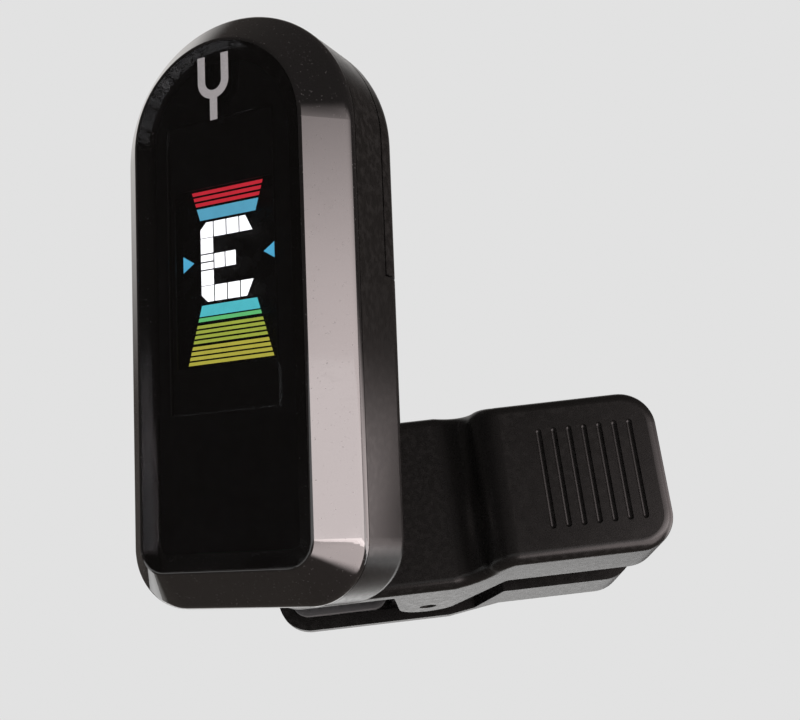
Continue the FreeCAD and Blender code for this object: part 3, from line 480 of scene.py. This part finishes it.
def build_display():
    """Every lit part of the display, as thin plates just in front of the panel."""
    top = (TOP_BAR, TOP_HALF)
    low = (LOW_BAR, LOW_HALF)
    shapes = (
        ("lit_letter", letter_cells(), "lit_white", (1.0, 1.0, 1.0), LETTER_GLOW),
        ("lit_pointers", pointers(), "lit_pointer_blue", (0.07, 0.34, 0.52), BAR_GLOW),
        ("lit_red_bars", stripes(38.35, 40.0, 3, 0.62, *top), "lit_red", (0.46, 0.018, 0.03), BAR_GLOW),
        ("lit_blue_bar", [band(36.95, 38.1, *top)], "lit_sky", (0.08, 0.30, 0.42), BAR_GLOW),
        ("lit_cyan_bar", [band(27.6, 28.65, *low)], "lit_cyan", (0.07, 0.42, 0.46), BAR_GLOW),
        ("lit_green_bar", [band(27.1, 27.46, *low)], "lit_green", (0.10, 0.42, 0.14), BAR_GLOW),
        ("lit_olive_bars", stripes(25.05, 26.95, 4, 0.62, *low), "lit_olive", (0.28, 0.33, 0.045), BAR_GLOW),
        ("lit_yellow_bars", stripes(23.0, 24.95, 4, 0.66, *low), "lit_yellow", (0.36, 0.33, 0.045), BAR_GLOW),
    )
    near, far = LCD_FRONT - SEGMENT_THICKNESS, LCD_FRONT - SEGMENT_STANDOFF
    for name, outlines, material, colour, glow in shapes:
        plate(name, outlines, near, far, HEAD, lit(material, colour, glow), "head")


# --- printed icon: a plain tuning fork ---------------------------------------
ICON_HEIGHT = 49.6
PRINT_PROUD = 0.025
PRINT_SUNK = 0.01


def fork_outline(centre_z, half_gap=0.92, prong=0.82, prong_height=2.5, stem=2.1):
    """A two-pronged fork with rounded shoulders and a straight stem."""
    outer = half_gap + prong
    steps = 14
    points = [(half_gap, centre_z + prong_height), (outer, centre_z + prong_height)]
    for step in range(steps + 1):
        angle = -math.pi / 2 * step / steps
        x, z = outer * math.cos(angle), centre_z + outer * math.sin(angle)
        if x > prong / 2:
            points.append((x, z))
    points.append((prong / 2, centre_z - math.sqrt(outer ** 2 - prong ** 2 / 4)))
    points.append((prong / 2, centre_z - outer - stem))
    points.append((-prong / 2, centre_z - outer - stem))
    mirrored = [(-x, z) for x, z in reversed(points[:-2])]
    points += mirrored
    for step in range(2 * steps + 1):
        angle = math.pi + math.pi * step / (2 * steps)
        points.append((half_gap * math.cos(angle), centre_z + half_gap * math.sin(angle)))
    return points


def build_icon():
    outline = fork_outline(ICON_HEIGHT)
    plate("tuning_fork_icon", [outline], -PRINT_PROUD, PRINT_SUNK, HEAD, printed_silver(), "head")


# --- key symbols: on and off, up, down ---------------------------------------
SYMBOL_PROUD = 0.012


def ring_outlines(radius, width, opening):
    """An upright ring open at the top, and the bar that stands in its opening."""
    steps = 24
    start = math.pi / 2 + opening
    sweep = 2 * math.pi - 2 * opening
    angles = [start + sweep * step / steps for step in range(steps + 1)]
    outer = [(radius * math.cos(angle), radius * math.sin(angle)) for angle in angles]
    inner = [((radius - width) * math.cos(angle), (radius - width) * math.sin(angle)) for angle in angles]
    half = width / 2
    bar = [(-half, 0.1 * radius), (half, 0.1 * radius), (half, 1.15 * radius), (-half, 1.15 * radius)]
    return [outer + list(reversed(inner)), bar]


def key_symbol(name, node, body, outlines):
    """Printed symbol on the outer face of a key on the head's edge."""
    turn = HEAD.to_3x3().normalized()
    low, high = local_box(node, turn)
    middle = turn @ Vector((low.x, (low.y + high.y) / 2, (low.z + high.z) / 2))
    outward = Matrix(((0, 1, 0), (-1, 0, 0), (0, 0, 1)))
    matrix = Matrix.Translation(middle) @ (turn @ outward).to_4x4() @ Matrix.Scale(MM, 4)
    plate(name, outlines, -SYMBOL_PROUD, PRINT_SUNK, matrix, SYMBOL_INK, body)


def build_key_symbols():
    key_symbol("power_symbol", "power_button", "power_key", ring_outlines(0.75, 0.2, 0.6))
    key_symbol("up_symbol", "up_button", "up_key", [[(-0.7, -0.45), (0.7, -0.45), (0, 0.65)]])
    key_symbol("down_symbol", "down_button", "down_key", [[(-0.7, 0.45), (0, -0.65), (0.7, 0.45)]])


# --- ribbed rubber jaw pads --------------------------------------------------
PAD_CORNER = 2.0 * MM
PAD_EDGE = 0.45 * MM
RIB_PITCH = 1.35 * MM
RIB_DEPTH = 0.38 * MM
RIB_MARGIN = 1.1 * MM


def spread(half):
    """Places from -half to half, closer together near both ends."""
    near_end = [share * PAD_EDGE for share in (0, 0.08, 0.25, 0.5, 0.8, 1.2)]
    ends = [half - step for step in near_end]
    count = 72
    inner = ends[-1]
    middle = [-inner + 2 * inner * step / count for step in range(1, count)]
    return [-place for place in ends] + middle + list(reversed(ends))


def pad_height(along, across, half_along, half_across, full):
    """Top of the pad: rolled edges, and rounded ribs across its middle."""
    inside = min(half_along - abs(along), half_across - abs(across))
    if inside < PAD_EDGE:
        return full - PAD_EDGE + math.sqrt(max(0.0, PAD_EDGE ** 2 - (PAD_EDGE - inside) ** 2))
    fade = min(1.0, max(0.0, (inside - RIB_MARGIN / 2) / (RIB_MARGIN / 2)))
    groove = (0.5 + 0.5 * math.cos(2 * math.pi * along / RIB_PITCH)) ** 3
    return full - RIB_DEPTH * groove * fade


def grip_pad(name, node, partner, body):
    """Ribbed pad in the space of a CAD pad, ribs facing the other jaw's pad."""
    low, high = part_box(node)
    other_low, other_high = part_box(partner)
    facing = 1 if (other_low.y + other_high.y) > (low.y + high.y) else -1
    seat = low.y if facing > 0 else high.y
    turn = Matrix(((1, 0, 0), (0, 0, facing), (0, -facing, 0)))
    origin = Vector(((low.x + high.x) / 2, seat, (low.z + high.z) / 2))
    matrix = Matrix.Translation(origin) @ turn.to_4x4()
    half_along, half_wide, full = (high.x - low.x) / 2, (high.z - low.z) / 2, high.y - low.y
    mesh = bmesh.new()
    rows = []
    for along in spread(half_along):
        into_corner = max(0.0, abs(along) - (half_along - PAD_CORNER))
        half_across = half_wide - PAD_CORNER + math.sqrt(PAD_CORNER ** 2 - into_corner ** 2)
        row = []
        for share in spread(half_wide):
            across = share * half_across / half_wide
            height = pad_height(along, across, half_along, half_across, full)
            row.append(mesh.verts.new(matrix @ Vector((along, across, height))))
        rows.append(row)
    for before, after in zip(rows[:-1], rows[1:]):
        for step in range(len(before) - 1):
            mesh.faces.new((before[step], after[step], after[step + 1], before[step + 1]))
    near_side = [row[0] for row in rows]
    far_side = [row[-1] for row in reversed(rows[:-1])]
    rim = near_side + rows[-1][1:] + far_side + list(reversed(rows[0][1:-1]))
    into = matrix.inverted()
    foot = []
    for corner in rim:
        place = into @ corner.co
        foot.append(mesh.verts.new(matrix @ Vector((place.x, place.y, 0))))
    for step in range(len(rim)):
        after = (step + 1) % len(rim)
        mesh.faces.new((rim[step], foot[step], foot[after], rim[after]))
    mesh.faces.new(foot)
    bmesh.ops.recalc_face_normals(mesh, faces=mesh.faces)
    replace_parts(finish_piece(name, mesh, RUBBER, body), node)


def build_pads():
    grip_pad("front_grip_pad", "front_pad", "rear_pad", "clip")
    grip_pad("rear_grip_pad", "rear_pad", "front_pad", "rear_jaw")


# --- stage, lights, camera ---------------------------------------------------
FLOOR_DROP = 0.25
FLOOR_REACH = 6.0
CARD_DROP = 0.11
CARD_REACH = 0.4


def pale_floor():
    """Pale matt paper."""
    n = Nodes("pale_floor")
    cloud = n.noise(160.0, 3.0)
    n.link(n.blend(cloud, (0.91, 0.91, 0.91), (0.93, 0.93, 0.93)), n.shader.inputs["Base Color"])
    n.link(n.ramp(cloud, 0.6, 0.7), n.shader.inputs["Roughness"])
    return n.material


def stage_disc(name, centre, height, radius, material):
    """A level disc for the floor or the card, not attached to any of the object's bodies."""
    sides = 96
    turns = [2 * math.pi * side / sides for side in range(sides)]
    rim = [(centre.x + radius * math.cos(turn), centre.y + radius * math.sin(turn)) for turn in turns]
    mesh = bmesh.new()
    mesh.faces.new([mesh.verts.new((x, y, height)) for x, y in rim])
    data = bpy.data.meshes.new(name)
    mesh.to_mesh(data)
    mesh.free()
    data.materials.append(material)
    disc = bpy.data.objects.new(name, data)
    bpy.context.scene.collection.objects.link(disc)
    return disc


def build_floor():
    """Pale floor, and a warm dark card over it that only reflections see."""
    low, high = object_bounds()
    middle = (low + high) / 2
    stage_disc("floor", Vector((0, 0, 0)), low.z - FLOOR_DROP, FLOOR_REACH, pale_floor())
    board = plain_variation("card_board", (0.085, 0.070, 0.060), (0.10, 0.084, 0.072), 0.8, 0.0, 40.0)
    card = stage_disc("low_card", middle, low.z - CARD_DROP, CARD_REACH, board)
    card.visible_camera = False
    card.visible_diffuse = False
    card.visible_shadow = False
    card.visible_transmission = False


def panel(name, azimuths, elevations, distance, radiance, fades, tint):
    """Flat light that fills a window of directions round the object's middle.

    fades are the shares of the panel over which its light dies away towards
    its left, right, lower and upper edges.
    """
    turn = math.radians(sum(azimuths) / 2)
    lift = math.radians(sum(elevations) / 2)
    toward = Vector((math.sin(turn) * math.cos(lift), -math.cos(turn) * math.cos(lift), math.sin(lift)))
    light = bpy.data.lights.new(name, "AREA")
    light.shape = "RECTANGLE"
    light.size = 2 * distance * math.tan(math.radians(azimuths[1] - azimuths[0]) / 2)
    light.size_y = 2 * distance * math.tan(math.radians(elevations[1] - elevations[0]) / 2)
    light.energy = 4 * radiance * light.size * light.size_y
    light.color = tint
    lamp = bpy.data.objects.new(name, light)
    bpy.context.scene.collection.objects.link(lamp)
    side = Vector((0, 0, 1)).cross(toward).normalized()
    lamp.matrix_world = (
        Matrix.Translation(LIGHT_TARGET + toward * distance)
        @ Matrix((side, toward.cross(side), toward)).transposed().to_4x4()
    )
    lamp.visible_camera = False
    fade_edges(light, fades)


def fade_edges(light, fades):
    """Make a light's strength die away smoothly towards its four edges."""
    light.use_nodes = True
    tree = light.node_tree
    place = tree.nodes.new("ShaderNodeSeparateXYZ")
    geometry = tree.nodes.new("ShaderNodeNewGeometry")
    tree.links.new(geometry.outputs["Parametric"], place.inputs["Vector"])
    strength = None
    left, right, bottom, top = fades
    for axis, start, end in (("X", 0, left), ("X", 1, 1 - right), ("Y", 0, bottom), ("Y", 1, 1 - top)):
        if start == end:
            continue
        edge = tree.nodes.new("ShaderNodeMapRange")
        edge.interpolation_type = "SMOOTHSTEP"
        edge.inputs["From Min"].default_value = start
        edge.inputs["From Max"].default_value = end
        tree.links.new(place.outputs[axis], edge.inputs["Value"])
        if strength is None:
            strength = edge.outputs["Result"]
            continue
        product = tree.nodes.new("ShaderNodeMath")
        product.operation = "MULTIPLY"
        tree.links.new(strength, product.inputs[0])
        tree.links.new(edge.outputs["Result"], product.inputs[1])
        strength = product.outputs["Value"]
    if strength is not None:
        tree.links.new(strength, tree.nodes["Emission"].inputs["Strength"])


LIGHT_TARGET = Vector((0.002, -0.018, 0.008))
WARM = (1.0, 0.87, 0.86)
NEUTRAL = (1.0, 0.98, 0.96)


def build_lights():
    panel("side_panel", (23, 80), (-22, 24), 0.30, 3.3, (0.14, 0.12, 0, 0.6), WARM)
    panel("rear_side_panel", (76, 128), (-24, 14), 0.09, 1.7, (0, 0.3, 0, 0.5), WARM)
    panel("low_panel", (22, 82), (-62, -20), 0.11, 2.6, (0.2, 0.2, 0.3, 0), WARM)
    panel("back_panel", (150, 232), (20, 70), 0.45, 0.45, (0.4, 0.4, 0.4, 0.4), NEUTRAL)
    panel("back_low_panel", (148, 236), (-34, -6), 0.20, 0.5, (0.35, 0.35, 0.3, 0.4), NEUTRAL)


def build_world():
    """Even light on matt surfaces, a dim surround in gloss and glass, a pale backdrop."""
    world = bpy.data.worlds.new("studio")
    bpy.context.scene.world = world
    world.use_nodes = True
    tree = world.node_tree
    path = tree.nodes.new("ShaderNodeLightPath")
    matt = tree.nodes.new("ShaderNodeMix")
    matt.data_type = "RGBA"
    matt.inputs["A"].default_value = (0.060, 0.053, 0.049, 1)
    matt.inputs["B"].default_value = (0.84, 0.84, 0.84, 1)
    tree.links.new(path.outputs["Is Diffuse Ray"], matt.inputs["Factor"])
    seen = tree.nodes.new("ShaderNodeMix")
    seen.data_type = "RGBA"
    seen.inputs["B"].default_value = (0.76, 0.76, 0.76, 1)
    tree.links.new(path.outputs["Is Camera Ray"], seen.inputs["Factor"])
    tree.links.new(matt.outputs["Result"], seen.inputs["A"])
    tree.links.new(seen.outputs["Result"], tree.nodes["Background"].inputs["Color"])


def build_camera():
    """Low and close, to the right of the head's face, as the photograph sees it."""
    side_turn = math.radians(35)
    distance_mm = 108.0
    height_mm = 4.0
    lean = math.radians(2.1)
    eye = HEAD @ Vector((distance_mm * math.sin(side_turn), -distance_mm * math.cos(side_turn), height_mm))
    low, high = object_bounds()
    target = (low + high) / 2
    camera = bpy.data.cameras.new("camera")
    camera.lens = 53
    camera.sensor_width = 36
    camera.clip_start = 0.005
    camera.clip_end = 20
    holder = bpy.data.objects.new("camera", camera)
    bpy.context.scene.collection.objects.link(holder)
    bpy.context.scene.camera = holder
    camera.shift_x = 0.02
    camera.shift_y = 0.09
    frame_width = (target - eye).length * camera.sensor_width / camera.lens
    up = (HEAD.to_3x3() @ Vector((0, 0, 1))).normalized()
    side = (target - eye).cross(up).normalized()
    aim = (target - eye - frame_width * (camera.shift_x * side + camera.shift_y * up)).normalized()
    side = aim.cross(up).normalized()
    level = Matrix((side, side.cross(aim), -aim)).transposed().to_4x4()
    holder.matrix_world = Matrix.Translation(eye) @ level @ Matrix.Rotation(-lean, 4, "Z")


dress_cad_nodes()
build_mask()
build_display()
build_icon()
build_key_symbols()
build_pads()
build_camera()
build_floor()
build_lights()
build_world()
bpy.context.scene.view_settings.view_transform = "Standard"
